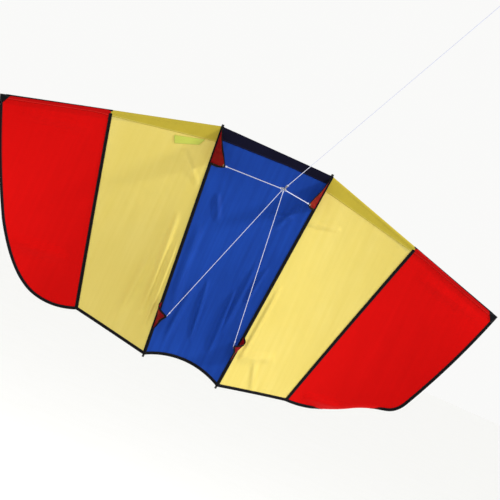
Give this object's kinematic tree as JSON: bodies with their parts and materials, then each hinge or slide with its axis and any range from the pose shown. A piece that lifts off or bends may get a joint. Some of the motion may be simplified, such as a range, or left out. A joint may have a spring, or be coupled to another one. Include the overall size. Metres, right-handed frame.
{
  "type": "kite",
  "caption": "Wide swept-wing kite in blue, yellow and red cloth with two long rods, keels, a bridle and a flying line.",
  "frame": {"origin": "centre of the tow ring, where the bridle meets the flying line", "axes": "+X along the span, +Z towards the leading edge, -Y towards the person who holds the line"},
  "size_m": [1.4954, 2.2505, 0.9629],
  "materials": {
    "blue_cloth": "thin woven ripstop, slightly translucent",
    "navy_band": "doubled woven cloth",
    "yellow_cloth": "thin woven ripstop, slightly translucent",
    "yellow_band": "doubled woven cloth",
    "red_cloth": "thin woven ripstop, slightly translucent",
    "red_band": "doubled woven cloth",
    "keel_cloth": "woven ripstop in shade",
    "black_tape": "matte woven binding tape",
    "lime_label": "plain woven label with no print",
    "rod": "pultruded fibre rod, satin",
    "black_vinyl": "moulded vinyl",
    "nickel": "nickel plate",
    "white_cord": "braided white cord"
  },
  "bodies": {
    "centre": {"panel_centre": "blue_cloth", "binding_centre": "black_tape", "pocket_centre": "navy_band", "spar_centre": "rod", "tow_ring": "nickel", "snap_clip": "nickel", "swivel_barrel": "nickel", "longeron_left": "rod", "longeron_sleeve_left": "black_tape", "longeron_top_cap_left": "black_vinyl", "longeron_tail_cap_left": "black_vinyl", "corner_hub_left": "black_vinyl", "seam_tape_inner_left": "black_tape", "keel_upper_left": "keel_cloth", "keel_lower_left": "keel_cloth", "keel_eyelet_upper_left": "nickel", "keel_eyelet_lower_left": "nickel", "bridle_upper_left": "white_cord", "bridle_lower_left": "white_cord", "longeron_right": "rod", "longeron_sleeve_right": "black_tape", "longeron_top_cap_right": "black_vinyl", "longeron_tail_cap_right": "black_vinyl", "corner_hub_right": "black_vinyl", "seam_tape_inner_right": "black_tape", "keel_upper_right": "keel_cloth", "keel_lower_right": "keel_cloth", "keel_eyelet_upper_right": "nickel", "keel_eyelet_lower_right": "nickel", "bridle_upper_right": "white_cord", "bridle_lower_right": "white_cord"},
    "wing_left": {"panel_inner_left": "yellow_cloth", "panel_outer_left": "red_cloth", "binding_inner_left": "black_tape", "binding_tip_left": "black_tape", "seam_tape_outer_left": "black_tape", "pocket_inner_left": "yellow_band", "pocket_outer_left": "red_band", "spar_left": "rod", "wing_fitting_left": "black_vinyl", "tip_cap_left": "black_vinyl", "care_label": "lime_label"},
    "wing_right": {"panel_inner_right": "yellow_cloth", "panel_outer_right": "red_cloth", "binding_inner_right": "black_tape", "binding_tip_right": "black_tape", "seam_tape_outer_right": "black_tape", "pocket_inner_right": "yellow_band", "pocket_outer_right": "red_band", "spar_right": "rod", "wing_fitting_right": "black_vinyl", "tip_cap_right": "black_vinyl"},
    "gate": {"snap_gate": "nickel"},
    "line": {"swivel_eye": "nickel", "line_knot": "white_cord", "flying_line": "white_cord", "line_end_knot": "white_cord", "line_end_loop": "white_cord"}
  },
  "joints": [
    {"name": "wing_left_fold", "type": "hinge", "parent": "centre", "child": "wing_left", "pos_m": [-0.165, 0.4282, 0.103], "axis": [0.0854, 0, -0.9963], "range_deg": [-3, 70], "stiffness_Nm_per_rad": 0.3},
    {"name": "wing_right_fold", "type": "hinge", "parent": "centre", "child": "wing_right", "pos_m": [0.165, 0.4282, 0.103], "axis": [0.0854, 0, 0.9963], "range_deg": [-3, 70], "stiffness_Nm_per_rad": 0.3},
    {"name": "swivel_spin", "type": "hinge", "parent": "centre", "child": "line", "pos_m": [0, 0, 0], "axis": [0, -0.9724, 0.2334], "continuous": true},
    {"name": "snap_gate_open", "type": "hinge", "parent": "centre", "child": "gate", "pos_m": [0, -0.01953, 0.00777], "axis": [-1, 0, 0], "range_deg": [0, 22], "stiffness_Nm_per_rad": 0.002}
  ]
}
